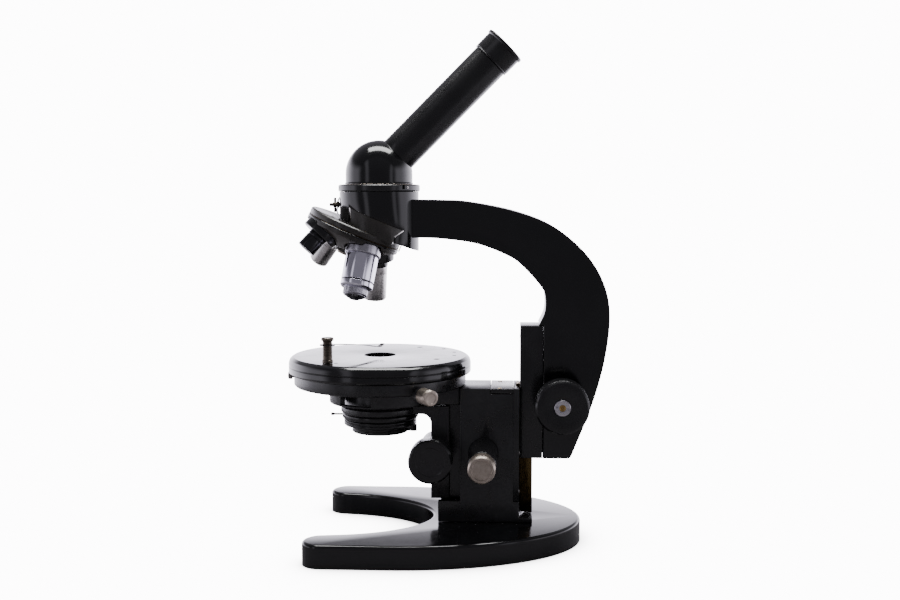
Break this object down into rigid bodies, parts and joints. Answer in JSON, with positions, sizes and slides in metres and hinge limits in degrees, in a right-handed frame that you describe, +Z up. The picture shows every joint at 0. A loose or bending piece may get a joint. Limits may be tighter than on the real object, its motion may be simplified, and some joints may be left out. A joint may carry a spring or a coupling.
{
  "type": "compound microscope",
  "caption": "Antique inclined monocular microscope: horseshoe foot, curved limb, rotating nosepiece, round centring stage and substage condenser.",
  "frame": {"origin": "centre of the bounding box on the table plane, under the middle of the foot", "axes": "+Z up; +X from the stage towards the limb and focus knobs; -Y towards the side with the condenser knob"},
  "size_m": [0.2146, 0.148, 0.3385],
  "materials": {
    "black_enamel": "gloss",
    "satin_black": "satin",
    "tarnished_brass": "satin",
    "warm_nickel": "satin",
    "chrome": "gloss",
    "steel": "satin",
    "lens_glass": "gloss"
  },
  "bodies": {
    "stand": {"base": "black_enamel", "pillar": "satin_black", "pillar_cap": "satin_black", "guide_plate": "satin_black", "substage_guide": "satin_black", "substage_rack": "tarnished_brass", "fine_boss_near": "satin_black", "fine_boss_far": "satin_black", "stage_bracket": "satin_black", "spring_plunger": "warm_nickel"},
    "fine_spindle_set": {"fine_spindle": "steel", "fine_knob_near": "warm_nickel", "fine_knob_far": "warm_nickel"},
    "wedge": {"wedge_nut": "tarnished_brass"},
    "fine_slide_set": {"fine_slide": "tarnished_brass", "coarse_rack": "steel", "follower_pin": "steel"},
    "limb_set": {"limb": "black_enamel", "slide_block": "satin_black", "head_body": "black_enamel", "pinion_bush_near": "satin_black", "pinion_bush_far": "satin_black"},
    "coarse_pinion": {"pinion_shaft": "steel", "coarse_knob_near": "satin_black", "coarse_knob_far": "satin_black", "knob_nut_near": "warm_nickel", "knob_nut_far": "warm_nickel", "nut_screw_near": "tarnished_brass", "nut_screw_far": "tarnished_brass"},
    "ring_clamp": {"clamp_ring": "black_enamel"},
    "tube_head": {"prism_housing": "black_enamel", "prism": "lens_glass", "tube": "black_enamel"},
    "eyepiece": {"eyepiece_body": "satin_black", "eye_lens": "lens_glass", "field_lens": "lens_glass"},
    "nosepiece": {"nosepiece_holder": "satin_black", "click_spring": "steel", "turret_screw": "warm_nickel"},
    "clamp_screw": {"nosepiece_clamp": "warm_nickel"},
    "turret_set": {"turret": "satin_black", "objective_low": "warm_nickel", "objective_immersion": "chrome", "objective_scan": "satin_black", "objective_high": "warm_nickel"},
    "centring_ring_body": {"centring_ring": "tarnished_brass"},
    "bearing_ring_body": {"bearing_ring": "steel"},
    "stage": {"stage_plate": "satin_black"},
    "stage_clip": {"clip_post": "steel", "clip_arm": "steel"},
    "screw_near": {"centring_screw_near": "warm_nickel"},
    "screw_far": {"centring_screw_far": "warm_nickel"},
    "substage": {"substage_bracket": "satin_black", "condenser_body": "satin_black", "condenser_lens": "lens_glass"},
    "condenser_pinion_set": {"condenser_pinion": "steel", "condenser_knob": "satin_black"},
    "iris": {"iris_ring": "satin_black"},
    "filter": {"filter_holder": "satin_black"}
  },
  "joints": [
    {"name": "fine_knob_turn", "type": "hinge", "parent": "stand", "child": "fine_spindle_set", "pos_m": [0.02505, 0, 0.062], "axis": [0, 1, 0], "range_deg": [-3605, 3605]},
    {"name": "wedge_travel", "type": "slide", "parent": "stand", "child": "wedge", "axis": [0, 1, 0], "range_m": [-0.00505, 0.00505]},
    {"name": "fine_focus", "type": "slide", "parent": "stand", "child": "fine_slide_set", "axis": [0, 0, 1], "range_m": [-0.001, 0.001]},
    {"name": "coarse_focus", "type": "slide", "parent": "fine_slide_set", "child": "limb_set", "axis": [0, 0, 1], "range_m": [-0.029, 0.005]},
    {"name": "coarse_knob_turn", "type": "hinge", "parent": "limb_set", "child": "coarse_pinion", "pos_m": [0.07555, 0, 0.097], "axis": [0, 1, 0], "range_deg": [-42, 240]},
    {"name": "clamp_ring_turn", "type": "hinge", "parent": "limb_set", "child": "ring_clamp", "pos_m": [-0.04495, 0, 0.2355], "axis": [0, 0, 1], "range_deg": [-15, 15]},
    {"name": "tube_turn", "type": "hinge", "parent": "limb_set", "child": "tube_head", "pos_m": [-0.04495, 0, 0.2448], "axis": [0, 0, 1], "continuous": true},
    {"name": "eyepiece_pull", "type": "slide", "parent": "tube_head", "child": "eyepiece", "axis": [0.7071, 0, 0.7071], "range_m": [0, 0.034]},
    {"name": "nosepiece_slide", "type": "slide", "parent": "limb_set", "child": "nosepiece", "axis": [0, -1, 0], "range_m": [0, 0.055]},
    {"name": "nosepiece_clamp_turn", "type": "hinge", "parent": "limb_set", "child": "clamp_screw", "pos_m": [-0.07145, 0, 0.2246], "axis": [1, 0, 0], "range_deg": [-170, 170]},
    {"name": "turret_turn", "type": "hinge", "parent": "nosepiece", "child": "turret_set", "pos_m": [-0.04495, 0, 0.247], "axis": [0.3907, 0, 0.9205], "continuous": true},
    {"name": "centring_screw_near_turn", "type": "hinge", "parent": "stand", "child": "screw_near", "pos_m": [-0.00915, -0.05957, 0.106], "axis": [0.515, -0.8572, 0], "range_deg": [-670, 670]},
    {"name": "centring_screw_far_turn", "type": "hinge", "parent": "stand", "child": "screw_far", "pos_m": [-0.00915, 0.05957, 0.106], "axis": [0.515, 0.8572, 0], "range_deg": [-670, 670]},
    {"name": "stage_centring_near", "type": "slide", "parent": "stand", "child": "centring_ring_body", "axis": [0.8572, -0.515, 0], "range_m": [-0.001, 0.001]},
    {"name": "stage_centring_far", "type": "slide", "parent": "centring_ring_body", "child": "bearing_ring_body", "axis": [0.8572, 0.515, 0], "range_m": [-0.001, 0.001]},
    {"name": "stage_turn", "type": "hinge", "parent": "bearing_ring_body", "child": "stage", "pos_m": [-0.04495, 0, 0.1185], "axis": [0, 0, 1], "continuous": true},
    {"name": "clip_swivel", "type": "hinge", "parent": "stage", "child": "stage_clip", "pos_m": [-0.07395, -0.041, 0.124], "axis": [0, 0, 1], "range_deg": [-60, 90]},
    {"name": "substage_focus", "type": "slide", "parent": "stand", "child": "substage", "axis": [0, 0, 1], "range_m": [-0.0135, 0.001]},
    {"name": "condenser_knob_turn", "type": "hinge", "parent": "substage", "child": "condenser_pinion_set", "pos_m": [-0.00855, 0, 0.0605], "axis": [0, 1, 0], "range_deg": [-140, 12]},
    {"name": "iris_lever_turn", "type": "hinge", "parent": "substage", "child": "iris", "pos_m": [-0.04495, 0, 0.0837], "axis": [0, 0, 1], "range_deg": [-40, 40]},
    {"name": "filter_swing", "type": "hinge", "parent": "substage", "child": "filter", "pos_m": [-0.02265, 0, 0.0746], "axis": [0, 0, 1], "range_deg": [-75, 0]}
  ],
  "couplings": [
    {"joint": "wedge_travel", "follows": "fine_focus", "ratio": -5},
    {"joint": "fine_knob_turn", "follows": "fine_focus", "rad_per_m": 62832},
    {"joint": "coarse_knob_turn", "follows": "coarse_focus", "rad_per_m": -142.86},
    {"joint": "centring_screw_near_turn", "follows": "stage_centring_near", "rad_per_m": 11648},
    {"joint": "centring_screw_far_turn", "follows": "stage_centring_far", "rad_per_m": 11648},
    {"joint": "condenser_knob_turn", "follows": "substage_focus", "rad_per_m": 178.57}
  ]
}
